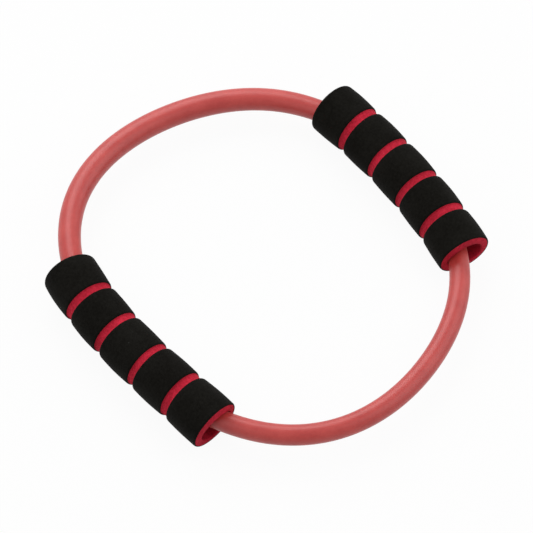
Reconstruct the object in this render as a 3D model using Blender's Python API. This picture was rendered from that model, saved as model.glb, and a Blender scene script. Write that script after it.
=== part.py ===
"""Stretch ring lying flat: a loop of hollow rubber tube through two banded foam grips.

Units are metres and +Z is up. The origin is on the floor below the middle of the ring.
The grips face each other along X, and the tube's two ends are joined by a barbed plug,
out of sight in the middle of the left half. Pulling the grips apart moves the left one
and the plug along -X, and each grip can be pushed a little way along the tube, round an
upright axis.
"""

import math

import bmesh
import bpy
import numpy as np

# The tube and the loop that it is closed into
LOOP_LENGTH = 0.665
TUBE_OD = 0.012
TUBE_BORE = 0.006
BUTT_GAP = 0.0006

# The ring's natural set: how far its heading strays from a circle's, in radians,
# keyed by the number of waves in one turn round the ring
SET_WAVES = {2: -0.1016, 3: 0.0418, 4: -0.0538, 5: -0.0268}

# A grip's foam core, with a bore much wider than the tube
GRIP_LENGTH = 0.124
CORE_OD = 0.0281
CORE_BORE = 0.0208
CORE_MOUTH_ROUND = 0.0007

# The thin skin of darker foam on the core, cut through into bands by ring grooves
BAND_COUNT = 5
GROOVE_WIDTH = 0.0042
SKIN_THICKNESS = 0.0008
SKIN_CROWN = 0.00025
SKIN_EDGE_ROUND = 0.0010
SKIN_END_ROUND = 0.0004
SKIN_EDGE_LAND = 0.0001
CREST_LENGTH = 0.0078

# How far each grip has slid round the tube, towards +Y, from where the loop bows most
RIGHT_GRIP_SLID = -0.0100
LEFT_GRIP_SLID = 0.0029

# How the grips sit on the tube: how far it hangs below their centre line, the slide each
# way that the axis a grip turns about is worked out from, and the most of the tube's bow
# in a grip that the loose bore may take up, so that the foam always bends a little
TUBE_DROP = 0.0010
GRIP_SLIDE = 0.0100
BOW_TAKEN_UP = 0.45

# The double-ended plug that joins the tube's ends
PLUG_LENGTH = 0.026
PLUG_SHANK_OD = 0.0036
PLUG_NOSE_OD = 0.0026
PLUG_BARBS = 3
PLUG_COLLAR_LENGTH = 0.0030
BARB_FACE_LENGTH = 0.0004
BARB_RISE_LENGTH = 0.0009

# Clearances between touching pieces
SKIN_CLEARANCE = 0.0003
TUBE_CLEARANCE = 0.0006
PLUG_CLEARANCE = 0.0003

# How finely the surfaces are divided
PATH_STEPS = 1440
TUBE_SIDES = 16
TUBE_STATION = 0.009
GRIP_SIDES = 24
CORE_STATION = 0.013
PLUG_SIDES = 12
CLOSING_ROUNDS = 40

# Sizes that follow from the ones above
CORE_RADIUS = CORE_OD / 2
BORE_RADIUS = CORE_BORE / 2
TUBE_RADIUS = TUBE_OD / 2
SKIN_INNER_RADIUS = CORE_RADIUS + SKIN_CLEARANCE
SKIN_CREST_RADIUS = SKIN_INNER_RADIUS + SKIN_THICKNESS
REST_HEIGHT = SKIN_CREST_RADIUS * math.cos(math.pi / GRIP_SIDES)
TUBE_HEIGHT = REST_HEIGHT - TUBE_DROP
BAND_LENGTH = (GRIP_LENGTH - (BAND_COUNT - 1) * GROOVE_WIDTH) / BAND_COUNT

# Colour, roughness and metallic value of each material
MATERIALS = {
    "tube_rubber": ((0.43, 0.075, 0.062), 0.42, 0.0),
    "core_foam": ((0.47, 0.012, 0.030), 0.80, 0.0),
    "skin_foam": ((0.0085, 0.0082, 0.0078), 0.85, 0.0),
    "plug_plastic": ((0.72, 0.70, 0.66), 0.40, 0.0),
}


def clear_scene():
    """Remove whatever the scene holds."""
    for obj in list(bpy.data.objects):
        bpy.data.objects.remove(obj, do_unlink=True)


def make_material(name):
    """One Principled material from the table of materials."""
    colour, roughness, metallic = MATERIALS[name]
    material = bpy.data.materials.new(name)
    material.use_nodes = True
    shader = material.node_tree.nodes["Principled BSDF"]
    shader.inputs["Base Color"].default_value = (*colour, 1.0)
    shader.inputs["Roughness"].default_value = roughness
    shader.inputs["Metallic"].default_value = metallic
    material.diffuse_color = (*colour, 1.0)
    return material


class RingPath:
    """The loop's centre line, seen from above, turned so that its two grips face each other along X."""

    def __init__(self, length):
        self.length = length
        self.seats = {1: RIGHT_GRIP_SLID, -1: length / 2 - LEFT_GRIP_SLID}
        turn = (np.arange(PATH_STEPS) + 0.5) / PATH_STEPS
        self.travel = np.linspace(0.0, length, PATH_STEPS + 1)
        self.run(turn, self.closed_heading(turn))
        right, left = (self.place(self.seats[side])[0] for side in (1, -1))
        askew = math.atan2(right[1] - left[1], right[0] - left[0])
        self.run(turn, self.headings[1] - askew)
        self.x -= (self.x.max() + self.x.min()) / 2
        self.y -= (self.y.max() + self.y.min()) / 2

    def run(self, turn, heading):
        """Add up the steps of the loop from its headings."""
        step = self.length / PATH_STEPS
        self.x = np.concatenate([[0.0], np.cumsum(-np.sin(heading)) * step])
        self.y = np.concatenate([[0.0], np.cumsum(np.cos(heading)) * step])
        self.headings = (turn * self.length, heading)

    @staticmethod
    def closed_heading(turn):
        """The heading all round, with a first wave just strong enough to close the loop."""
        heading = 2 * math.pi * turn
        for waves, strength in SET_WAVES.items():
            heading = heading + strength * np.sin(2 * math.pi * waves * turn)
        closed = heading
        first = 0.0
        for _ in range(CLOSING_ROUNDS):
            first += 2 * float(np.mean(np.cos(closed)))
            closed = heading + first * np.sin(2 * math.pi * turn)
        return closed

    def place(self, travel):
        """The centre point and the outward direction after some travel along the loop."""
        travel = travel % self.length
        heading = float(np.interp(travel, *self.headings))
        x = float(np.interp(travel, self.travel, self.x))
        y = float(np.interp(travel, self.travel, self.y))
        return np.array([x, y]), np.array([math.cos(heading), math.sin(heading)])

    def falls(self, side, seat, half_length):
        """How far the loop falls back inward, half a grip's length each way from a seat."""
        middle, outward = self.place(seat)
        falls = []
        for way in (-1, 1):
            travel = np.linspace(seat, seat + way * side * self.length / 4, PATH_STEPS // 4) % self.length
            x = np.interp(travel, self.travel, self.x) - middle[0]
            y = np.interp(travel, self.travel, self.y) - middle[1]
            along = way * side * (y * outward[0] - x * outward[1])
            falls.append(-float(np.interp(half_length, along, x * outward[0] + y * outward[1])))
        return falls


class GripPath:
    """A grip's centre line: an arc that bends just as far as the tube makes the foam bend.

    The tube touches the bore's outer side at the grip's middle and its inner side at both ends.
    """

    def __init__(self, ring, side, slid=0.0):
        self.side = side
        half_length = GRIP_LENGTH / 2
        seat_travel = ring.seats[side] + side * slid
        falls = ring.falls(side, seat_travel, half_length)
        bow = sum(falls) / 2
        play = BORE_RADIUS - TUBE_RADIUS - TUBE_CLEARANCE
        offset = min(math.sqrt(play**2 - TUBE_DROP**2), BOW_TAKEN_UP * bow)
        sag = bow - 2 * offset
        self.radius = (half_length**2 + sag**2) / (2 * sag)
        seat, outward = ring.place(seat_travel)
        lean = (falls[1] - falls[0]) / GRIP_LENGTH
        self.heading = math.atan2(side * outward[1], side * outward[0]) + side * lean
        self.middle = seat - offset * outward

    def outward(self, travel):
        """The direction away from the ring's inside after some travel from the grip's middle."""
        angle = self.heading + self.side * travel / self.radius
        return self.side * np.array([math.cos(angle), math.sin(angle)])

    def place(self, travel):
        """The centre point and the outward direction after some travel from the grip's middle."""
        outward = self.outward(travel)
        return self.middle + self.radius * (outward - self.outward(0.0)), outward


def turning_point(ring, side):
    """The point that a grip turns about as it slides a little each way along the loop."""
    before = GripPath(ring, side, -GRIP_SLIDE)
    after = GripPath(ring, side, GRIP_SLIDE)
    across = after.middle - before.middle
    half_turn = (after.heading - before.heading) / 2
    return (before.middle + after.middle) / 2 + np.array([-across[1], across[0]]) / (2 * math.tan(half_turn))


def make_pivot(name, place, parent=None):
    """An empty on the floor plane, which carries the pieces that move about it."""
    pivot = bpy.data.objects.new(name, None)
    bpy.context.scene.collection.objects.link(pivot)
    pivot.location.xy = place
    if parent:
        pivot.parent = parent
        pivot.location -= parent.location
    return pivot


def swept_body(name, profile, path, height, sides, material, closed=True):
    """Carry circles along a path, one for each (travel, radius) of the profile, and skin them.

    A closed profile gives a body with a bore, and an open one gets flat ends. A flat
    facet, and no corner, is at the bottom.
    """
    mesh = bmesh.new()
    rings = []
    for travel, radius in profile:
        centre, outward = path.place(travel)
        ring = []
        for k in range(sides):
            angle = 2 * math.pi * (k + 0.5) / sides
            x = centre[0] + outward[0] * radius * math.cos(angle)
            y = centre[1] + outward[1] * radius * math.cos(angle)
            ring.append(mesh.verts.new((x, y, height + radius * math.sin(angle))))
        rings.append(ring)
    pairs = list(zip(rings, rings[1:]))
    if closed:
        pairs.append((rings[-1], rings[0]))
    else:
        mesh.faces.new(rings[0])
        mesh.faces.new(rings[-1])
    for first, second in pairs:
        for k in range(sides):
            after = (k + 1) % sides
            mesh.faces.new((first[k], first[after], second[after], second[k]))
    bmesh.ops.recalc_face_normals(mesh, faces=mesh.faces)
    data = bpy.data.meshes.new(name)
    mesh.to_mesh(data)
    mesh.free()
    data.shade_smooth()
    data.set_sharp_from_angle(angle=math.radians(40))
    data.materials.append(material)
    body = bpy.data.objects.new(name, data)
    bpy.context.scene.collection.objects.link(body)
    return body


def hang_on(body, pivot, place):
    """Parent a body to its pivot, and move its origin onto the pivot's axis."""
    for vertex in body.data.vertices:
        vertex.co.x -= place[0]
        vertex.co.y -= place[1]
    body.parent = pivot


def centre_on_origin():
    """Move everything so that the whole ring's outline is centred on the origin, and tell by how much."""
    bpy.context.view_layer.update()
    bodies = [obj for obj in bpy.data.objects if obj.type == "MESH"]
    corners = [body.matrix_world @ vertex.co for body in bodies for vertex in body.data.vertices]
    shift = [-(max(c[axis] for c in corners) + min(c[axis] for c in corners)) / 2 for axis in (0, 1)]
    for obj in bpy.data.objects:
        if obj.parent is None:
            obj.location.x += shift[0]
            obj.location.y += shift[1]
    return np.array(shift)


def evenly(start, end, longest):
    """Travels from start to end in equal steps, none longer than the longest."""
    steps = max(1, math.ceil(abs(end - start) / longest))
    return [start + (end - start) * k / steps for k in range(steps + 1)]


def rounded_corner(travel, radius, along, depth, points=3):
    """A quarter round from an end face, depth short of the radius, to the radius itself."""
    corner = []
    for k in range(points):
        angle = math.pi / 2 * k / (points - 1)
        corner.append((travel + along * (1 - math.cos(angle)), radius - depth * (1 - math.sin(angle))))
    return corner


def make_tube(ring, material):
    """The rubber tube, from one cut end to the other, with both ends square."""
    start = ring.length / 2 + BUTT_GAP / 2
    end = start + ring.length - BUTT_GAP
    stations = evenly(start, end, TUBE_STATION)
    outside = [(travel, TUBE_RADIUS) for travel in stations]
    inside = [(travel, TUBE_BORE / 2) for travel in reversed(stations)]
    return swept_body("resistance_tube", outside + inside, ring, TUBE_HEIGHT, TUBE_SIDES, material)


def plug_profile(middle):
    """The plug from nose to nose: saw-tooth barbs each side of a plain collar."""
    crest = TUBE_BORE / 2 - PLUG_CLEARANCE
    shank = PLUG_SHANK_OD / 2
    half_collar = PLUG_COLLAR_LENGTH / 2
    pitch = (PLUG_LENGTH / 2 - half_collar) / PLUG_BARBS
    half = [(half_collar, crest)]
    for barb in range(PLUG_BARBS):
        root = half_collar + barb * pitch
        tip = PLUG_NOSE_OD / 2 if barb == PLUG_BARBS - 1 else shank
        half.append((root + BARB_FACE_LENGTH, shank))
        half.append((root + BARB_FACE_LENGTH + BARB_RISE_LENGTH, crest))
        half.append((root + pitch, tip))
    other_half = [(-travel, radius) for travel, radius in reversed(half)]
    return [(middle + travel, radius) for travel, radius in other_half + half]


def make_plug(ring, material):
    """The barbed plug, half in each end of the tube."""
    profile = plug_profile(ring.length / 2)
    return swept_body("joint_plug", profile, ring, TUBE_HEIGHT, PLUG_SIDES, material, closed=False)


def make_core(name, grip, material):
    """The foam core: a plain sleeve whose bore has softly rounded mouths."""
    half = GRIP_LENGTH / 2
    mouth = CORE_MOUTH_ROUND
    outside = [(travel, CORE_RADIUS) for travel in evenly(-half, half, CORE_STATION)]
    far_mouth = rounded_corner(half, BORE_RADIUS, -mouth, -mouth)
    near_mouth = rounded_corner(-half, BORE_RADIUS, mouth, -mouth)[::-1]
    bore = [(travel, BORE_RADIUS) for travel in evenly(half - mouth, mouth - half, CORE_STATION)]
    profile = outside + far_mouth + bore[1:-1] + near_mouth
    return swept_body(name, profile, grip, REST_HEIGHT, GRIP_SIDES, material)


def band_profile(index):
    """One skin band: a crowned ring with soft edges, cut squarer at the grip's own ends."""
    start = -GRIP_LENGTH / 2 + index * (BAND_LENGTH + GROOVE_WIDTH)
    end = start + BAND_LENGTH
    middle = (start + end) / 2
    shoulder = SKIN_CREST_RADIUS - SKIN_CROWN
    deepest = shoulder - SKIN_INNER_RADIUS - SKIN_EDGE_LAND
    first = SKIN_END_ROUND if index == 0 else SKIN_EDGE_ROUND
    last = SKIN_END_ROUND if index == BAND_COUNT - 1 else SKIN_EDGE_ROUND
    rise = rounded_corner(start, shoulder, first, min(first, deepest))
    fall = rounded_corner(end, shoulder, -last, min(last, deepest))[::-1]
    crest = [(middle - CREST_LENGTH / 2, SKIN_CREST_RADIUS), (middle + CREST_LENGTH / 2, SKIN_CREST_RADIUS)]
    inside = [(end, SKIN_INNER_RADIUS), (middle, SKIN_INNER_RADIUS), (start, SKIN_INNER_RADIUS)]
    return rise + crest + fall + inside


def make_grip(name, grip, core_material, skin_material):
    """A whole grip: the core and its row of skin bands."""
    pieces = [make_core(f"{name}_core", grip, core_material)]
    for index in range(BAND_COUNT):
        band_name = f"{name}_band_{index + 1}"
        pieces.append(swept_body(band_name, band_profile(index), grip, REST_HEIGHT, GRIP_SIDES, skin_material))
    return pieces


def main():
    clear_scene()
    materials = {name: make_material(name) for name in MATERIALS}
    ring = RingPath(LOOP_LENGTH)
    joint = ring.place(ring.length / 2)[0]
    pull = make_pivot("stretch_pull", joint)
    make_tube(ring, materials["tube_rubber"])
    hang_on(make_plug(ring, materials["plug_plastic"]), pull, joint)
    middles = {}
    for name, side, carrier in (("right_grip", 1, None), ("left_grip", -1, pull)):
        grip = GripPath(ring, side)
        turns_about = turning_point(ring, side)
        pivot = make_pivot(f"{name}_pivot", turns_about, carrier)
        for piece in make_grip(name, grip, materials["core_foam"], materials["skin_foam"]):
            hang_on(piece, pivot, turns_about)
        middles[name] = (grip.middle, turns_about, grip.radius)
    shift = centre_on_origin()
    for name, (middle, turns_about, radius) in middles.items():
        print(f"{name}: middle {middle + shift}, turns about {turns_about + shift}, bend radius {radius:.4f}")
    print(f"tube cut length {LOOP_LENGTH - BUTT_GAP:.4f}, rest height {REST_HEIGHT:.5f}")


main()
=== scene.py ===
# %% [markdown]
# A stretch ring, dressed for its portrait.
# The ring is a loop of hollow rubber tube that runs loosely through two foam grips. The
# solids of every piece are already made and come in as a fixed frame. What is missing is
# the surface: how rubber glows a little at its edges, how foam drinks the light, and how
# soft pieces are never quite true. Each step below makes one piece or one finish.

# %% Load the frame
import math

import bpy
import numpy as np
from mathutils import Matrix, Vector


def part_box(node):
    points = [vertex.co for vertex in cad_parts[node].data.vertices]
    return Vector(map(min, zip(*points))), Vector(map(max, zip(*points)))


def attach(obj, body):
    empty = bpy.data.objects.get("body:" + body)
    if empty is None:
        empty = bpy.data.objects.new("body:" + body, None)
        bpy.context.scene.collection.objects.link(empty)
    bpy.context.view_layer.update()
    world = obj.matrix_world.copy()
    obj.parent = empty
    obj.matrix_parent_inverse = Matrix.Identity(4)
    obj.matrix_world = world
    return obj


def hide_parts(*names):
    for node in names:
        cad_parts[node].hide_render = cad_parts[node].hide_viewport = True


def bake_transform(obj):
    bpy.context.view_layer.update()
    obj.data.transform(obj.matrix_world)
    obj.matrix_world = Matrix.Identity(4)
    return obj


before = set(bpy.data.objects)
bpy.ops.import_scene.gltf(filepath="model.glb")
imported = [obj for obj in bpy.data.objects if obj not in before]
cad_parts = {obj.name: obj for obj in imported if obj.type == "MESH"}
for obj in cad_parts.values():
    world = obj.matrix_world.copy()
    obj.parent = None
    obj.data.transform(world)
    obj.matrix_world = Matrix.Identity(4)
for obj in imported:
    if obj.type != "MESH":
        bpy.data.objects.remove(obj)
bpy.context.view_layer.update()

print("pieces in the frame:", sorted(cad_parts))

# %% [markdown]
# First the sizes of the whole ring, in metres. They repeat those of the solids, so that
# each finer surface lies where its solid lies. The two thick grips rest on the table and
# carry the tube clear of it. The tube hangs a little below their middles, as their bores
# are loose. All the sizes could be listed here, but a size is easier to follow beside the
# piece that it belongs to, so the others wait until they are needed.

# %% The whole ring
LOOP_LENGTH = 0.665
GRIP_HEIGHT = 0.01502
TUBE_DROP = 0.0010
TUBE_HEIGHT = GRIP_HEIGHT - TUBE_DROP
print(f"the tube's middle runs {TUBE_HEIGHT * 1000:.2f} mm above the table")

# %% [markdown]
# The lines could be drawn by hand with curves, but a hand-drawn loop always shows a flat
# spot somewhere. A real tube bends smoothly, so its heading is written instead: a steady
# turn, plus a few gentle waves for the set that the rubber has taken. Adding up small
# steps along the headings gives the points. These two helpers do it for every line here.

# %% Lines that turn as they run
PATH_STEPS = 1440


def run(headings, length):
    """The points of a line, added up from its headings."""
    steps = np.column_stack([-np.sin(headings), np.cos(headings)]) * length / len(headings)
    return np.vstack([np.zeros(2), np.cumsum(steps, axis=0)])


def follow(points, headings, start, length, height, side=1, period=None):
    """A function that gives the centre and the outward direction after any travel along a line."""
    ends = start + np.linspace(0.0, length, len(points))
    middles = (ends[1:] + ends[:-1]) / 2
    outward = (np.cos(headings), np.sin(headings))

    def at(travel):
        x, y = (np.interp(travel, ends, row, period=period) for row in points.T)
        out_x, out_y = (np.interp(travel, middles, row, period=period) for row in outward)
        centre = np.stack([x, y, np.full_like(x, height)], -1)
        return centre, side * np.stack([out_x, out_y, np.zeros_like(x)], -1)

    return at


print(f"the loop is added up from {PATH_STEPS} steps of {LOOP_LENGTH / PATH_STEPS * 1000:.2f} mm")

# %% [markdown]
# The tube's two ends are pushed onto one plug, so its line has to meet itself. A closed
# curve object would do that too, but its length would have to be tuned by hand. Here one
# more wave is made just strong enough, by trying: each round takes back the gap that the
# round before left.

# %% The line of the tube
LOOP_TURN = 0.0666
SET_WAVES = {2: -0.1016, 3: 0.0418, 4: -0.0538, 5: -0.0268}
CLOSING_ROUNDS = 40


def closed_headings():
    """The headings all round the loop, which turns once and meets itself."""
    turn = (np.arange(PATH_STEPS) + 0.5) / PATH_STEPS
    heading = 2 * math.pi * turn
    for waves, strength in SET_WAVES.items():
        heading = heading + strength * np.sin(2 * math.pi * waves * turn)
    closed = heading
    first = 0.0
    for _ in range(CLOSING_ROUNDS):
        first += 2 * float(np.mean(np.cos(closed)))
        closed = heading + first * np.sin(2 * math.pi * turn)
    return closed + LOOP_TURN


HEADINGS = closed_headings()
LOOP = run(HEADINGS, LOOP_LENGTH)
lowest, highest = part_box("resistance_tube")
LOOP += np.array([lowest.x + highest.x, lowest.y + highest.y]) / 2 - (LOOP.max(axis=0) + LOOP.min(axis=0)) / 2
on_loop = follow(LOOP, HEADINGS, 0.0, LOOP_LENGTH, TUBE_HEIGHT, period=LOOP_LENGTH)
reach = (LOOP.max(axis=0) - LOOP.min(axis=0)) / 2
print(f"the tube's line reaches {reach[0] * 1000:.1f} mm along X and {reach[1] * 1000:.1f} mm along Y")

# %% [markdown]
# Foam grips are sawn from a long sleeve and grooved with a turning knife. No two grooves
# are quite alike, the two sleeves aren't equally long, their ends aren't quite square, and
# the bore isn't quite in the middle. The solids leave that out, since they are rigid. Each
# small fault could be modelled by hand, but one table for each grip holds them all, and
# every surface of the grip is worked out from it.

# %% The sizes of the grips
# For each grip: the side of the ring that it is on, the point at its middle, the terms of
# its heading, where it was cut off, how far each cut leans outward and upward, how far
# outward and upward its bore is off centre and the bore's radius, how far the tube has
# worn it, and the middle and width of each groove
GRIPS = {
    "right_grip": {
        "side": 1, "middle": (0.09299, -0.00295), "headings": (-0.0198, 0.1537),
        "ends": (-0.0604, 0.0609), "leans": ((0.0001, -0.0011), (-0.0007, 0.0004)),
        "bore": (0.0008, -0.0020, 0.0101), "wear": 0.0008,
        "grooves": ((-0.0378, 0.0048), (-0.0127, 0.0043), (0.0130, 0.0043), (0.0381, 0.0045))},
    "left_grip": {
        "side": -1, "middle": (-0.09307, -0.00274), "headings": (0.0697, -0.1409, -0.0986),
        "ends": (-0.0633, 0.0622), "leans": ((-0.0003, -0.0012), (0.0002, 0.0004)),
        "bore": (-0.0004, -0.0024, 0.0098), "wear": 0.0006,
        "grooves": ((-0.0384, 0.0046), (-0.0124, 0.0040), (0.0141, 0.0044), (0.0386, 0.0045))},
}
for grip, sizes in GRIPS.items():
    print(f"{grip} is {(sizes['ends'][1] - sizes['ends'][0]) * 1000:.1f} mm long")

# %% [markdown]
# A straight foam sleeve pushed onto a bent tube bends too, but less than the tube does,
# because its bore is loose. The right one bows evenly. The left one has a slight bend back
# near one end, as foam gets from lying in a bag. A curve modifier could bend a straight
# sleeve, but a line of the sleeve's own also says where the tube lies inside it.

# %% The line of a grip
HALF_GRIP = 0.060
GRIP_REACH = 0.070
GRIP_STEPS = 280


def grip_line(side, middle, headings):
    """A function that gives the centre and the outward direction along one grip."""
    step = 2 * GRIP_REACH / GRIP_STEPS
    travel = -GRIP_REACH + step * (np.arange(GRIP_STEPS) + 0.5)
    turned = np.polynomial.polynomial.polyval(travel / HALF_GRIP, headings)
    points = run(turned, 2 * GRIP_REACH)
    points += np.array(middle) - points[GRIP_STEPS // 2]
    return follow(points, turned, -GRIP_REACH, 2 * GRIP_REACH, GRIP_HEIGHT, side)


GRIP_LINES = {}
for grip, sizes in GRIPS.items():
    GRIP_LINES[grip] = grip_line(sizes["side"], sizes["middle"], sizes["headings"])
    ends = GRIP_LINES[grip](np.array(sizes["ends"]))[0]
    print(f"{grip} runs from {np.round(ends[0][:2] * 1000, 1)} to {np.round(ends[1][:2] * 1000, 1)} mm")

# %% [markdown]
# Soft things rest on a table with a small flat. Moving the lowest points up to the table
# would leave a sharp edge round that flat. So heights fade out gently as they come near
# it, and what would sink into the table flattens against it instead.

# %% Rest on the table
REST_SOFTNESS = 0.00015


def lie_flat(heights):
    """Heights that fade out smoothly as they reach the table, so that nothing is below it."""
    return REST_SOFTNESS * np.log1p(np.exp(heights / REST_SOFTNESS))


print(f"a point 0.1 mm under the table's top is lifted to {lie_flat(-0.0001) * 1000:.3f} mm above it")

# %% [markdown]
# A mesh needs two things besides its points. UVs tell a material how far along and round
# the piece it is. Unwrapping would stretch them to fit a square, so they are laid out in
# metres, and a pattern has the same size on every piece. And the faces have to look
# outward. The volume of a closed piece is positive when they do, so it is added up, and if
# it comes out negative, all the faces are flipped.

# %% Lay out UVs and turn faces outward


def add_uvs(mesh, travels, radii):
    """UVs in metres: along the piece, and round it."""
    layer = mesh.uv_layers.new(name="along_and_round")
    rows, sides = radii.shape
    for polygon in mesh.polygons:
        i, k = divmod(polygon.index, sides)
        corners = ((i, k), (i, k + 1), (i + 1, k + 1), (i + 1, k))
        for loop_index, (row, column) in zip(polygon.loop_indices, corners):
            spot = (row % rows, column % sides)
            layer.data[loop_index].uv = (travels[spot], 2 * math.pi * radii[spot] * column / sides)


def face_outward(mesh):
    """Turn every face outward: a closed piece has a positive volume then."""
    mesh.calc_loop_triangles()
    volume = 0.0
    for triangle in mesh.loop_triangles:
        a, b, c = (mesh.vertices[v].co for v in triangle.vertices)
        volume += a.dot(b.cross(c))
    if volume < 0:
        mesh.flip_normals()


print("meshes that came with the frame:", len(bpy.data.meshes))

# %% [markdown]
# Tube, cores and bands are alike in one way: each is a circle carried along a line while
# its radius changes, so one helper makes them all. A bevelled curve could carry a circle
# too, but not with a bore, nor with a section that swells here and there as foam does. The
# helper takes a table of travels and one of radii, with a row for each circle and a column
# for each point round it.

# %% Carry circles along a line
UP = np.array([0.0, 0.0, 1.0])


def sides_round(sides):
    """The angles of the points round a circle, from the outward side over the top."""
    return 2 * math.pi * np.arange(sides) / sides


def all_round(values, sides):
    """A table with one value for each circle, repeated for every point round it."""
    return np.broadcast_to(values[:, None], (len(values), sides))


def swept_piece(name, line, travels, radii):
    """Skin a closed row of circles carried along a line."""
    rows, sides = radii.shape
    angles = sides_round(sides)[:, None]
    centre, outward = line(travels)
    points = centre + radii[..., None] * (np.cos(angles) * outward + np.sin(angles) * UP)
    points[..., 2] = lie_flat(points[..., 2])
    faces = []
    for i in range(rows):
        for k in range(sides):
            j, after = (i + 1) % rows, (k + 1) % sides
            faces.append((i * sides + k, i * sides + after, j * sides + after, j * sides + k))
    mesh = bpy.data.meshes.new(name)
    mesh.from_pydata(points.reshape(-1, 3).tolist(), [], faces)
    add_uvs(mesh, travels, radii)
    obj = bpy.data.objects.new(name, mesh)
    bpy.context.scene.collection.objects.link(obj)
    face_outward(mesh)
    mesh.shade_smooth()
    return obj


print("round a circle of four points:", np.round(np.degrees(sides_round(4))).astype(int).tolist(), "degrees")

# %% [markdown]
# Shaders come next. They could be wired by hand in the editor, but written down they can be
# read and changed later. Two helpers keep that short. One adds a node with its settings and
# plain values. The other starts a group, which is a small tree of its own with named
# sockets, for an effect that more than one material uses.

# %% Nodes and groups


def add_node(tree, kind, values=None, **settings):
    """A node with its settings, and with plain values on some of its sockets."""
    node = tree.nodes.new(kind)
    for key, setting in settings.items():
        setattr(node, key, setting)
    for socket, value in (values or {}).items():
        node.inputs[socket].default_value = value
    return node


def new_group(name, inputs, outputs):
    """An empty node group with named sockets: inputs are floats with their usual values."""
    tree = bpy.data.node_groups.new(name, "ShaderNodeTree")
    tree.interface.new_socket("Vector", in_out="INPUT", socket_type="NodeSocketVector")
    for socket, usual in inputs.items():
        item = tree.interface.new_socket(socket, in_out="INPUT", socket_type="NodeSocketFloat")
        item.default_value = usual
    for socket in outputs:
        tree.interface.new_socket(socket, in_out="OUTPUT", socket_type="NodeSocketFloat")
    return tree, add_node(tree, "NodeGroupInput"), add_node(tree, "NodeGroupOutput")


print("node groups so far:", len(bpy.data.node_groups))

# %% [markdown]
# Closed-cell foam is a skin of tiny bubbles cut open. From arm's length they only soften
# the light, so they are a fine height, with slow blotches where the foam is a little
# denser, and a few specks of lint where the blotches are palest. Real holes would need
# millions of faces for the same look. A group keeps the effect in one place, and the red
# core and the black skin both use it.

# %% Foam as a shared effect
FOAM_SCALES = {"Cell Scale": 1800.0, "Grain Scale": 700.0, "Blotch Scale": 60.0, "Lint Scale": 260.0}
FINE_SHARE = 0.5
SPECK_EDGE = {"From Min": 0.11, "From Max": 0.05}
PALE_PLACES = {"From Min": 0.60, "From Max": 0.70}


def foam_group():
    """Open cells as a height, blotches as a slow mask, grain as a fine one, and lint as rare specks."""
    tree, given, result = new_group("foam_cells", FOAM_SCALES, ("Height", "Blotches", "Grain", "Lint"))
    cells = add_node(tree, "ShaderNodeTexVoronoi", feature="SMOOTH_F1")
    fine = add_node(tree, "ShaderNodeTexNoise", {"Detail": 3.0})
    height = add_node(tree, "ShaderNodeMath", {1: FINE_SHARE}, operation="MULTIPLY_ADD")
    blotches = add_node(tree, "ShaderNodeTexNoise", {"Detail": 4.0, "Roughness": 0.6})
    lint = add_node(tree, "ShaderNodeTexVoronoi")
    specks = add_node(tree, "ShaderNodeMapRange", SPECK_EDGE)
    rare = add_node(tree, "ShaderNodeMapRange", PALE_PLACES)
    both = add_node(tree, "ShaderNodeMath", operation="MULTIPLY")
    link = tree.links.new
    textures = {"Cell Scale": cells, "Grain Scale": fine, "Blotch Scale": blotches, "Lint Scale": lint}
    for scale, texture in textures.items():
        link(given.outputs["Vector"], texture.inputs["Vector"])
        link(given.outputs[scale], texture.inputs["Scale"])
    link(fine.outputs["Fac"], height.inputs[0])
    link(cells.outputs["Distance"], height.inputs[2])
    link(lint.outputs["Distance"], specks.inputs["Value"])
    link(blotches.outputs["Fac"], rare.inputs["Value"])
    link(specks.outputs["Result"], both.inputs[0])
    link(rare.outputs["Result"], both.inputs[1])
    link(height.outputs["Value"], result.inputs["Height"])
    link(blotches.outputs["Fac"], result.inputs["Blotches"])
    link(fine.outputs["Fac"], result.inputs["Grain"])
    link(both.outputs["Value"], result.inputs["Lint"])
    return tree


FOAM_CELLS = foam_group()
print("shared effect:", FOAM_CELLS.name)

# %% [markdown]
# A material is then a Principled shader with its steady values typed on its own sockets,
# and only what varies over the surface wired in. These helpers set up that much: the
# shader itself, two tones that a mask runs between, and a bump for what is too fine to
# be modelled.

# %% Start a material


def start_material(name, **steady):
    """A Principled material with plain values, its tree, its shader and its coordinates."""
    material = bpy.data.materials.new(name)
    material.use_nodes = True
    tree = material.node_tree
    shader = tree.nodes["Principled BSDF"]
    for socket, value in steady.items():
        shader.inputs[socket.replace("_", " ")].default_value = value
    return material, tree, shader, add_node(tree, "ShaderNodeTexCoord")


def two_tones(tree, mask, *stops):
    """The colour that runs from one tone to another with a mask, from two (position, colour) stops."""
    ramp = add_node(tree, "ShaderNodeValToRGB")
    for element, (position, colour) in zip(ramp.color_ramp.elements, stops):
        element.position = position
        element.color = (*colour, 1.0)
    tree.links.new(mask, ramp.inputs["Fac"])
    return ramp.outputs["Color"]


def add_bump(tree, shader, height, strength, distance):
    """A bump from a height, wired to the shader's normal."""
    bump = add_node(tree, "ShaderNodeBump", {"Strength": strength, "Distance": distance})
    tree.links.new(height, bump.inputs["Height"])
    tree.links.new(bump.outputs["Normal"], shader.inputs["Normal"])


print("materials that came with the frame:", len(bpy.data.materials))

# %% [markdown]
# The foam. The core is dyed through and shows crimson wherever it is cut, and the skin is
# nearly black with a trace of dust on it. One flat colour each would look like paint, so
# both run between two tones. Black foam isn't zero, but it is less than one percent, and
# its cells send hardly any gloss back, so its specular level is low too.

# %% Foam materials
GRAIN_SHARE = 0.5
DARK_UP_TO = 0.38
LIGHT_FROM = 0.62


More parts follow.
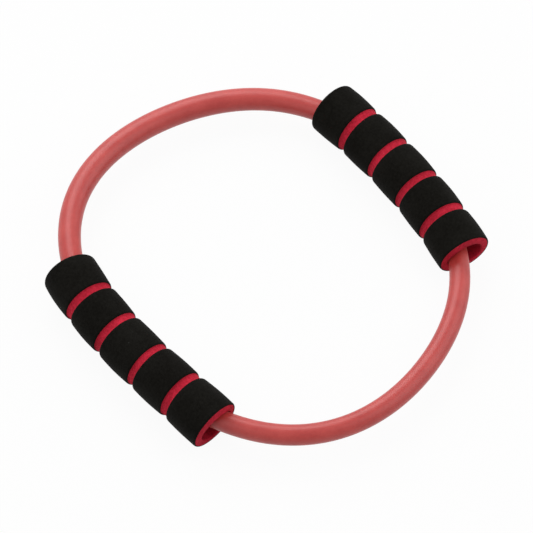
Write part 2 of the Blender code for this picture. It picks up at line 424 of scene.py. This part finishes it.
def foam_material(name, dark, light, lint_colour, cell_depth, **steady):
    """A foam with two tones in blotches and grain, specks of lint, and open cells."""
    material, tree, shader, coordinates = start_material(name, **steady)
    foam = add_node(tree, "ShaderNodeGroup", node_tree=FOAM_CELLS)
    tone = add_node(tree, "ShaderNodeMix", {"Factor": GRAIN_SHARE}, data_type="FLOAT")
    link = tree.links.new
    link(coordinates.outputs["Object"], foam.inputs["Vector"])
    link(foam.outputs["Blotches"], tone.inputs["A"])
    link(foam.outputs["Grain"], tone.inputs["B"])
    tones = two_tones(tree, tone.outputs["Result"], (DARK_UP_TO, dark), (LIGHT_FROM, light))
    dusted = add_node(tree, "ShaderNodeMix", {"B": (*lint_colour, 1.0)}, data_type="RGBA")
    link(foam.outputs["Lint"], dusted.inputs["Factor"])
    link(tones, dusted.inputs["A"])
    link(dusted.outputs["Result"], shader.inputs["Base Color"])
    add_bump(tree, shader, foam.outputs["Height"], strength=0.5, distance=cell_depth)
    return material


core_foam = foam_material(
    "crimson_foam", dark=(0.33, 0.0070, 0.020), light=(0.52, 0.0160, 0.040),
    lint_colour=(0.55, 0.10, 0.11), cell_depth=0.00018, Roughness=0.9, Specular_IOR_Level=0.16)
skin_foam = foam_material(
    "black_foam", dark=(0.0024, 0.0020, 0.0012), light=(0.0068, 0.0063, 0.0050),
    lint_colour=(0.045, 0.045, 0.045), cell_depth=0.00016, Roughness=0.75, Specular_IOR_Level=0.05)
print("foam materials:", core_foam.name, skin_foam.name)

# %% [markdown]
# The rubber. An extruded tube has faint lines along it from the die, and a bloom of
# powder that makes it paler in patches. A little light goes into it, so it has some
# subsurface scattering. A picture wrapped round it could hold the lines, but it would blur
# from close by. The UVs run in metres, so lines along the tube are a noise that is
# stretched along its first direction.

# %% Rubber material
BLOOM = {"Scale": 90.0, "Detail": 6.0, "Roughness": 0.72}
SATIN = {"To Min": 0.32, "To Max": 0.44}
RUBBER_TONES = ((0.36, (0.425, 0.026, 0.022)), (0.64, (0.500, 0.046, 0.038)))
DIE_LINES_PER_METRE = (12.0, 2600.0, 1.0)


def rubber_material():
    """Salmon rubber with a patchy bloom and faint lines along it."""
    material, tree, shader, coordinates = start_material(
        "salmon_rubber", Specular_IOR_Level=0.60, Subsurface_Weight=0.12,
        Subsurface_Radius=(0.0030, 0.0010, 0.0008), Subsurface_Scale=1.0, Sheen_Weight=0.06)
    bloom = add_node(tree, "ShaderNodeTexNoise", BLOOM)
    link = tree.links.new
    link(coordinates.outputs["Object"], bloom.inputs["Vector"])
    link(two_tones(tree, bloom.outputs["Fac"], *RUBBER_TONES), shader.inputs["Base Color"])
    satin = add_node(tree, "ShaderNodeMapRange", SATIN)
    link(bloom.outputs["Fac"], satin.inputs["Value"])
    link(satin.outputs["Result"], shader.inputs["Roughness"])
    stretched = add_node(tree, "ShaderNodeMapping", {"Scale": DIE_LINES_PER_METRE})
    link(coordinates.outputs["UV"], stretched.inputs["Vector"])
    die_lines = add_node(tree, "ShaderNodeTexNoise", {"Scale": 1.0, "Detail": 2.0})
    link(stretched.outputs["Vector"], die_lines.inputs["Vector"])
    add_bump(tree, shader, die_lines.outputs["Fac"], strength=0.18, distance=0.00004)
    return material


tube_rubber = rubber_material()
print("rubber material:", tube_rubber.name)

# %% [markdown]
# The plug sits inside the tube and never shows. One plain colour would do, but its solid
# stays in the model, so it gets an honest moulded plastic too: ivory, with a faint flow
# pattern.

# %% Plug material
PLASTIC_TONES = ((0.35, (0.66, 0.64, 0.60)), (0.65, (0.74, 0.72, 0.68)))


def plug_material():
    """Ivory plastic with the faint clouds of its flow into the mould."""
    material, tree, shader, coordinates = start_material("ivory_plastic", Roughness=0.40)
    flow = add_node(tree, "ShaderNodeTexNoise", {"Scale": 300.0})
    tree.links.new(coordinates.outputs["Object"], flow.inputs["Vector"])
    tree.links.new(two_tones(tree, flow.outputs["Fac"], *PLASTIC_TONES), shader.inputs["Base Color"])
    add_bump(tree, shader, flow.outputs["Fac"], strength=0.1, distance=0.00005)
    return material


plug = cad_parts["joint_plug"]
plug.data.materials.clear()
plug.data.materials.append(plug_material())
print("plug material:", plug.data.materials[0].name)

# %% [markdown]
# Now the tube itself. It stretches when the grips are pulled apart, so it is one mesh
# that spans both ends, which stop a small gap short of each other. Two halves that slide
# past each other would show a step. The tube isn't equally thick all the way, as a used
# one seldom is.

# %% Make the tube
TUBE_RADIUS = 0.006
TUBE_BORE_RADIUS = 0.003
BUTT_GAP = 0.0006
TUBE_SIDES = 40
TUBE_STATION = 0.003
FAR_SIDE_FULLER = 0.00040
ARCS_FULLER = 0.00017


def tube_radius(travel):
    """The tube's radius: fuller between the grips than in them, and most so on the far side."""
    turned = 2 * math.pi * travel / LOOP_LENGTH
    return TUBE_RADIUS + FAR_SIDE_FULLER * np.sin(turned) - ARCS_FULLER * np.cos(2 * turned)


def evenly(start, end, longest):
    """Travels from start to end in equal steps."""
    steps = max(1, math.ceil(abs(end - start) / longest))
    return [start + (end - start) * k / steps for k in range(steps + 1)]


def make_tube():
    """The whole tube as one closed skin, out along its wall and back through its bore."""
    start = LOOP_LENGTH / 2 + BUTT_GAP / 2
    stations = np.array(evenly(start, start + LOOP_LENGTH - BUTT_GAP, TUBE_STATION))
    travels = np.concatenate([stations, stations[::-1]])
    radii = np.concatenate([tube_radius(stations), np.full(len(stations), TUBE_BORE_RADIUS)])
    tube = swept_piece("rubber_tube", on_loop, all_round(travels, TUBE_SIDES), all_round(radii, TUBE_SIDES))
    tube.data.materials.append(tube_rubber)
    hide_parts("resistance_tube")
    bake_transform(tube)
    return tube


tube = make_tube()
print(f"tube with {len(tube.data.polygons)} faces, held at both grips and drawn out between them")

# %% [markdown]
# Foam is cut, not moulded, so no sleeve is quite round. A few slow waves in the radius
# are enough for an outline that looks soft. Hands have squeezed each sleeve slimmest at
# its middle, and its ends flare, because nothing there holds the foam in. The saw cut that
# parted it from a longer sleeve leans a little. A displace modifier could do some of this,
# but a formula keeps core and skin together, since both read it at the same places.

# %% How foam strays from true
SWELL = 0.00012
SLIM_MIDDLE = 0.00018
FLARE = 0.00074
LEAN_LENGTH = 0.016

# For each slow wave: its strength, how many times it swells round the sleeve, how far it
# turns in each metre along it, and how far it is turned from one grip to the next, in radians
SWELL_WAVES = ((1.0, 2, 40.0, 1.7), (0.6, 3, -75.0, 2.3))


def foam_swell(travels, angles, seed):
    """How much the radius strays from true at each travel and angle, different for each seed."""
    slow = 0.0
    for strength, lobes, twist, turned in SWELL_WAVES:
        slow = slow + strength * np.sin(lobes * angles + twist * travels + turned * seed)
    strongest = sum(wave[0] for wave in SWELL_WAVES)
    return SWELL * slow / strongest - SLIM_MIDDLE + FLARE * (travels / HALF_GRIP) ** 2


def smooth(share):
    """A share that starts and ends gently."""
    share = np.clip(share, 0.0, 1.0)
    return share * share * (3 - 2 * share)


def lean_of_cuts(grip, travels, angles):
    """How far each point is moved along the grip, because its two ends are cut askew."""
    moved = np.zeros(np.broadcast(travels, angles).shape)
    for end, (outward, upward) in zip(GRIPS[grip]["ends"], GRIPS[grip]["leans"]):
        share = smooth(1 - np.abs(travels - end) / LEAN_LENGTH)
        moved = moved + share * (outward * np.cos(angles) + upward * np.sin(angles))
    return moved


for place, more in (("middle", -SLIM_MIDDLE), ("ends", FLARE - SLIM_MIDDLE)):
    print(f"a sleeve's {place}: {more * 1000:+.2f} mm in radius")

# %% [markdown]
# The tube bends more than the sleeves do, so inside each one it wanders from side to side:
# against the inner wall near the mouths, and towards the outer wall in the middle. A ray
# cast at the finished meshes could find it. But both lines are known, so it is enough to
# look where the tube's line crosses a plane square to the grip.

# %% Where the tube lies in a grip
BESIDE_GRIP = 0.03


def tube_in_grip(grip, travel):
    """How far outward of the grip's centre the tube lies after some travel, and the tube's radius there."""
    centre, outward = (values[:2] for values in GRIP_LINES[grip](travel))
    spots = LOOP - centre
    out, ahead = spots @ outward, spots @ np.array([-outward[1], outward[0]])
    near = np.flatnonzero(np.abs(out) < BESIDE_GRIP)
    near = near[np.argsort(ahead[near])]
    crossing = near[np.argmin(np.abs(ahead[near]))]
    offset = np.interp(0.0, ahead[near], out[near])
    return float(offset), float(tube_radius(crossing * LOOP_LENGTH / PATH_STEPS))


for grip, sizes in GRIPS.items():
    beside = [tube_in_grip(grip, travel)[0] * 1000 for travel in (sizes["ends"][0], 0.0, sizes["ends"][1])]
    print(f"in {grip} the tube is off centre by", ", ".join(f"{offset:.1f}" for offset in beside), "mm")

# %% [markdown]
# The bore comes before the core. It is wide and sits a little low, so a dark crescent
# shows beside the tube at each end. Where the tube presses on the wall, the foam gives
# way: the wall is wherever the bore or the tube reaches further, with a little softness
# where one takes over from the other. Past the mouth it is worn a little wider, since the
# grip slides along the tube. A boolean cut could hollow the sleeve too, but a formula
# leaves a smoother wall.

# %% The wall of a bore
BORE_STATION = 0.001
PAST_THE_ENDS = 0.003
MOUTH_MARGIN = 0.00027
WEAR_LENGTH = 0.0005
DENT_SOFTNESS = 0.00012


def reach_of(angles, out, up, radius):
    """How far a circle reaches at some angles, seen from a point that its centre is off from."""
    along = out * np.cos(angles) + up * np.sin(angles)
    inside = radius**2 - out**2 - up**2 + along**2
    return np.where(inside > 0, along + np.sqrt(np.abs(inside)), 0.0)


def bore_wall(grip, travels, leaned, angles):
    """The wall's distance from the grip's centre: the bore, dented where the tube presses."""
    bore = reach_of(angles, *GRIPS[grip]["bore"])
    near, far = GRIPS[grip]["ends"]
    stops = evenly(near - PAST_THE_ENDS, far + PAST_THE_ENDS, BORE_STATION)
    inside = [tube_in_grip(grip, stop) for stop in stops]
    offsets, tube_radii = (np.interp(leaned, stops, row) for row in zip(*inside))
    worn = smooth(np.minimum(travels - near, far - travels) / WEAR_LENGTH)
    margin = MOUTH_MARGIN + GRIPS[grip]["wear"] * worn
    tube = reach_of(angles, offsets, -TUBE_DROP, tube_radii + margin)
    return DENT_SOFTNESS * np.logaddexp(bore / DENT_SOFTNESS, tube / DENT_SOFTNESS)


for grip, sizes in GRIPS.items():
    outward, upward, radius = sizes["bore"]
    print(f"{grip}: a bore {radius * 2000:.1f} mm wide, {-upward * 1000:.1f} mm below the middle")

# %% [markdown]
# The core is one long sleeve of crimson foam. The knife that cut the grooves went through
# the skin and into it. First comes the outside of its section, as places along the sleeve
# with the radius at each. A bevel on the finished mesh would round its rims too, but it
# would take the feet of the grooves' walls along.

# %% The outside of a core
CORE_RADIUS = 0.01405
CORE_STATION = 0.003
RIM_ROUND = 0.0004
RIM_POINTS = 4
GROOVE_SINK = 0.00055
GROOVE_WALL = 0.0007
GROOVE_WALL_POINTS = 5


def quarter_round(travel, radius, along, depth, points):
    """From an end face, depth short of the radius, round to the radius itself."""
    corner = []
    for k in range(points):
        angle = math.pi / 2 * k / (points - 1)
        corner.append((travel + along * (1 - math.cos(angle)), radius - depth * (1 - math.sin(angle))))
    return corner


def core_radius(grip, travel):
    """The core's outer radius after some travel: sunk in the grooves."""
    radius = CORE_RADIUS
    for middle, width in GRIPS[grip]["grooves"]:
        radius -= GROOVE_SINK * smooth((width / 2 - abs(travel - middle)) / GROOVE_WALL)
    return radius


def core_outside(grip):
    """The outside of the section: its points are close together at the rims and the grooves' walls."""
    near, far = GRIPS[grip]["ends"]
    travels = set(evenly(near + RIM_ROUND, far - RIM_ROUND, CORE_STATION))
    for middle, width in GRIPS[grip]["grooves"]:
        for side in (-1, 1):
            for share in np.linspace(0.0, 1.0, GROOVE_WALL_POINTS):
                travels.add(middle + side * (width / 2 - share * GROOVE_WALL))
    near_rim = quarter_round(near, CORE_RADIUS, RIM_ROUND, RIM_ROUND, RIM_POINTS)[:-1]
    far_rim = quarter_round(far, CORE_RADIUS, -RIM_ROUND, RIM_ROUND, RIM_POINTS)[:-1]
    return near_rim + [(travel, core_radius(grip, travel)) for travel in sorted(travels)] + far_rim[::-1]


for grip in GRIPS:
    print(f"{grip}: {len(core_outside(grip))} circles along the outside of its core")

# %% [markdown]
# The inside follows the bore, back from the far mouth to the near one, so that the section
# closes when the two lists are joined. Foam can't hold a sharp edge where a tube rubs it,
# so the mouths are softly rounded. Only they need points close together. Between them even
# steps will do, because the dents are added to each circle afterwards.

# %% The inside of a core
MOUTH_ROUND = 0.0009
MOUTH_POINTS = 5


def core_inside(grip):
    """The inside of the section, from the far mouth through the bore to the near one."""
    near, far = GRIPS[grip]["ends"]
    radius = GRIPS[grip]["bore"][2]
    far_mouth = quarter_round(far, radius, -MOUTH_ROUND, -MOUTH_ROUND, MOUTH_POINTS)
    near_mouth = quarter_round(near, radius, MOUTH_ROUND, -MOUTH_ROUND, MOUTH_POINTS)
    bore = [(travel, radius) for travel in evenly(far - MOUTH_ROUND, near + MOUTH_ROUND, CORE_STATION)]
    return far_mouth + bore[1:-1] + near_mouth[::-1]


for grip in GRIPS:
    print(f"{grip}: {len(core_inside(grip))} circles through its bore")

# %% [markdown]
# The core's circles run along the outside from one end to the other and back through the
# bore, so that it is one closed skin. A solidify modifier would make a wall too, but an
# even one, and here the outside swells and the inside is dented, each in its own way.

# %% Make the cores
CORE_SIDES = 96


def make_core(grip, seed):
    """One crimson sleeve, swollen outside and dented inside, that rides with its grip."""
    outside = core_outside(grip)
    table = np.array(outside + core_inside(grip))
    angles = sides_round(CORE_SIDES)[None, :]
    travels = all_round(table[:, 0], CORE_SIDES)
    leaned = travels + lean_of_cuts(grip, travels, angles)
    strays = foam_swell(travels, angles, seed)
    within = slice(len(outside), None)
    strays[within] = bore_wall(grip, travels[within], leaned[within], angles) - GRIPS[grip]["bore"][2]
    core = swept_piece(f"{grip}_foam_core", GRIP_LINES[grip], leaned, table[:, 1:] + strays)
    core.data.materials.append(core_foam)
    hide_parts(f"{grip}_core")
    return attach(core, grip)


for seed, grip in enumerate(GRIPS):
    core = make_core(grip, seed)
    print(f"{core.name} with {len(core.data.polygons)} faces")

# %% [markdown]
# The black skin is a thin layer on the core. Grooves are cut through it to the red, and
# the heat of the cut leaves each band crowned, with rounded edges, also at the grip's own
# ends. A crest alone could be one loft between two rings, but the rounded edges need their
# own points. On the real grip the skin is bonded, so here it reaches down almost onto the
# core.

# %% The section of a band
SKIN_RADIUS = 0.01515
SKIN_SEAT = 0.00012
BAND_STATION = 0.003
EDGE_ROUND = 0.0015
EDGE_DEPTH = 0.00074
EDGE_POINTS = 8
CROWN = 0.00030
CREST_POINTS = 7


def band_edges(grip):
    """The start and the end of each band, between the grip's ends and its grooves."""
    near, far = GRIPS[grip]["ends"]
    cuts = [near]
    for middle, width in GRIPS[grip]["grooves"]:
        cuts += [middle - width / 2, middle + width / 2]
    cuts.append(far)
    return list(zip(cuts[::2], cuts[1::2]))


def band_profile(start, end):
    """The section of one band, from its near edge over the crest to its far edge and back inside."""
    shoulder = SKIN_RADIUS - CROWN
    rise = quarter_round(start, shoulder, EDGE_ROUND, EDGE_DEPTH, EDGE_POINTS)
    fall = quarter_round(end, shoulder, -EDGE_ROUND, EDGE_DEPTH, EDGE_POINTS)[::-1]
    crest = []
    for k in range(1, CREST_POINTS + 1):
        share = k / (CREST_POINTS + 1)
        travel = rise[-1][0] + (fall[0][0] - rise[-1][0]) * share
        crest.append((travel, shoulder + CROWN * math.sin(math.pi * share)))
    inside = [(travel, CORE_RADIUS + SKIN_SEAT) for travel in evenly(end, start, BAND_STATION)]
    return np.array(rise + crest + fall + inside)


for grip in GRIPS:
    lengths = ", ".join(f"{(end - start) * 1000:.1f}" for start, end in band_edges(grip))
    print(f"{grip}: bands of {lengths} mm")

# %% [markdown]
# Each band is a piece of its own, as it is after the cut: a ring of skin that touches no
# other. One mesh for all five would look the same, but then no band could be told from
# the next. It takes the same swell and the same leaning cuts as the core that it sits on.

# %% Make the skin bands
BAND_SIDES = 96


def make_band(grip, number, start, end, seed):
    """One black ring of skin that rides with its grip."""
    table = band_profile(start, end)
    angles = sides_round(BAND_SIDES)[None, :]
    travels = all_round(table[:, 0], BAND_SIDES)
    leaned = travels + lean_of_cuts(grip, travels, angles)
    radii = table[:, 1:] + foam_swell(travels, angles, seed)
    band = swept_piece(f"{grip}_skin_{number}", GRIP_LINES[grip], leaned, radii)
    band.data.materials.append(skin_foam)
    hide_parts(f"{grip}_band_{number}")
    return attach(band, grip)


for seed, grip in enumerate(GRIPS):
    for index, (start, end) in enumerate(band_edges(grip)):
        band = make_band(grip, index + 1, start, end, seed)
        print(f"{band.name} with {len(band.data.polygons)} faces")

# %% [markdown]
# The setting has two jobs. It lights the ring, and it shows round it, plain white in the
# photograph. The background could be painted white afterwards, but the rubber's gloss would
# still show another setting than the picture. So a mask picks out the rays that show the
# setting, by way of gloss or glass too, and it is white for those alone.

# %% Rays that show the setting
SHOWING_RAYS = ("Is Camera Ray", "Is Glossy Ray", "Is Transmission Ray")


def seen_directly(tree):
    """A mask of the rays that show the setting: to the camera, or by way of gloss or glass."""
    path = add_node(tree, "ShaderNodeLightPath")
    mask = path.outputs[SHOWING_RAYS[0]]
    for ray in SHOWING_RAYS[1:]:
        either = add_node(tree, "ShaderNodeMath", operation="MAXIMUM")
        tree.links.new(mask, either.inputs[0])
        tree.links.new(path.outputs[ray], either.inputs[1])
        mask = either.outputs["Value"]
    return mask


print(f"the setting is white for {len(SHOWING_RAYS)} kinds of rays")

# %% [markdown]
# The floor is a pale table. It is lit like anything else for the ring's sake, but where it
# shows it is mostly plain white, with a faint shadow left. A brighter lamp could whiten it
# too, but would wash out the ring first.

# %% Floor
FLOOR_SIZE = 12.0
FLOOR_DROP = 0.0002
FLOOR_GREY = (0.75, 0.75, 0.75, 1.0)
FLOOR_WHITE_SHARE = 0.94


def make_floor():
    """A wide plane, just under the ring, that is a mix of lit grey and plain white."""
    bpy.ops.mesh.primitive_plane_add(size=FLOOR_SIZE, location=(0.0, 0.0, -FLOOR_DROP))
    floor = bpy.context.object
    floor.name = "floor"
    material = bpy.data.materials.new("floor_white")
    material.use_nodes = True
    tree = material.node_tree
    tree.nodes.remove(tree.nodes["Principled BSDF"])
    diffuse = add_node(tree, "ShaderNodeBsdfDiffuse", {"Color": FLOOR_GREY})
    white = add_node(tree, "ShaderNodeEmission")
    share = add_node(tree, "ShaderNodeMath", {1: FLOOR_WHITE_SHARE}, operation="MULTIPLY")
    mix = add_node(tree, "ShaderNodeMixShader")
    link = tree.links.new
    link(seen_directly(tree), share.inputs[0])
    link(share.outputs["Value"], mix.inputs["Fac"])
    link(diffuse.outputs["BSDF"], mix.inputs[1])
    link(white.outputs["Emission"], mix.inputs[2])
    link(mix.outputs["Shader"], tree.nodes["Material Output"].inputs["Surface"])
    floor.data.materials.append(material)
    return floor


print(f"a {make_floor().name} {FLOOR_SIZE:.0f} m wide")

# %% [markdown]
# A pale world fills the shadows, and the camera sees it as white past the table's edge. In
# the picture every piece is bright on its far side and dark on its near side. A picture of
# a studio could light it so, but a plain slope does too: the world is brightest at the back
# and dims towards the camera's side.

# %% World
BACKWARD = (0.61, 0.79, 0.0)
WORLD_WHITE = (1.0, 1.0, 1.0, 1.0)
WORLD_LEVELS = {"From Min": -1.0, "To Min": 0.20, "To Max": 1.0}


def make_world():
    """A white world that dims towards the camera's side, but is plain white where it shows."""
    world = bpy.data.worlds.new("white_studio")
    bpy.context.scene.world = world
    world.use_nodes = True
    tree = world.node_tree
    background = tree.nodes["Background"]
    background.inputs["Color"].default_value = WORLD_WHITE
    coordinates = add_node(tree, "ShaderNodeTexCoord")
    backward = add_node(tree, "ShaderNodeVectorMath", {1: BACKWARD}, operation="DOT_PRODUCT")
    level = add_node(tree, "ShaderNodeMapRange", WORLD_LEVELS)
    strength = add_node(tree, "ShaderNodeMath", operation="MAXIMUM")
    tree.links.new(coordinates.outputs["Generated"], backward.inputs[0])
    tree.links.new(backward.outputs["Value"], level.inputs["Value"])
    tree.links.new(level.outputs["Result"], strength.inputs[0])
    tree.links.new(seen_directly(tree), strength.inputs[1])
    tree.links.new(strength.outputs["Value"], background.inputs["Strength"])
    return world


world = make_world()
print(f"{world.name}: strength {WORLD_LEVELS['To Min']} in front and {WORLD_LEVELS['To Max']} at the back")

# %% [markdown]
# The main lamp is a large soft one that hangs behind the ring, so the tube's highlight runs
# along its far side. A small lamp would draw that highlight as a hard white line. Two wide
# ones fill in from left and right: without the right one, the grips' end faces would be
# too dark.

# %% Lamps
LAMPS = {
    "main_lamp": {"place": (0.28, 0.89, 0.91), "size": 1.0, "power": 7.6},
    "left_fill": {"place": (-1.2, 0.4, 1.1), "size": 1.6, "power": 6.0},
    "right_fill": {"place": (0.95, -0.73, 1.0), "size": 1.6, "power": 8.0},
}


def make_lamp(name, place, size, power):
    """A square lamp that looks at the ring's middle."""
    data = bpy.data.lights.new(name, "AREA")
    data.size = size
    data.energy = power
    lamp = bpy.data.objects.new(name, data)
    lamp.location = place
    lamp.rotation_euler = (-Vector(place)).to_track_quat("-Z", "Y").to_euler()
    bpy.context.scene.collection.objects.link(lamp)


for name, values in LAMPS.items():
    make_lamp(name, **values)
    print(f"{name}: {values['power']} W, {Vector(values['place']).length:.2f} m away")

# %% [markdown]
# The camera stands high and far off with a long lens, since the photograph has hardly any
# perspective. It could be moved by eye until the ring looks right, but its angles came
# from fitting the ring's own edges, which is closer.

# %% Camera
CAMERA_TILT = math.radians(-32.06)
CAMERA_TURN = math.radians(37.74)
CAMERA_ROLL = math.radians(-0.11)
CAMERA_DISTANCE = 2.352
CAMERA_SHIFT = (0.00072, 0.00333)
PICTURE_PIXELS = 533
PIXELS_PER_METRE = 1830.7
SENSOR_WIDTH = 36.0


def make_camera():
    """The camera, turned and moved so that the ring lies in the picture as photographed."""
    turned = (Matrix.Rotation(CAMERA_ROLL, 3, "Z") @ Matrix.Rotation(CAMERA_TILT, 3, "X")
              @ Matrix.Rotation(CAMERA_TURN, 3, "Z")).transposed()
    data = bpy.data.cameras.new("photo_camera")
    data.sensor_width = SENSOR_WIDTH
    data.lens = SENSOR_WIDTH * CAMERA_DISTANCE * PIXELS_PER_METRE / PICTURE_PIXELS
    camera = bpy.data.objects.new("photo_camera", data)
    place = turned @ Vector((-CAMERA_SHIFT[0], -CAMERA_SHIFT[1], CAMERA_DISTANCE))
    camera.matrix_world = Matrix.Translation(place + Vector((0, 0, TUBE_HEIGHT))) @ turned.to_4x4()
    bpy.context.scene.collection.objects.link(camera)
    bpy.context.scene.camera = camera
    return camera


camera = make_camera()
bpy.context.scene.view_settings.view_transform = "Standard"
print(f"camera with a {camera.data.lens:.0f} mm lens, {CAMERA_DISTANCE:.2f} m away")
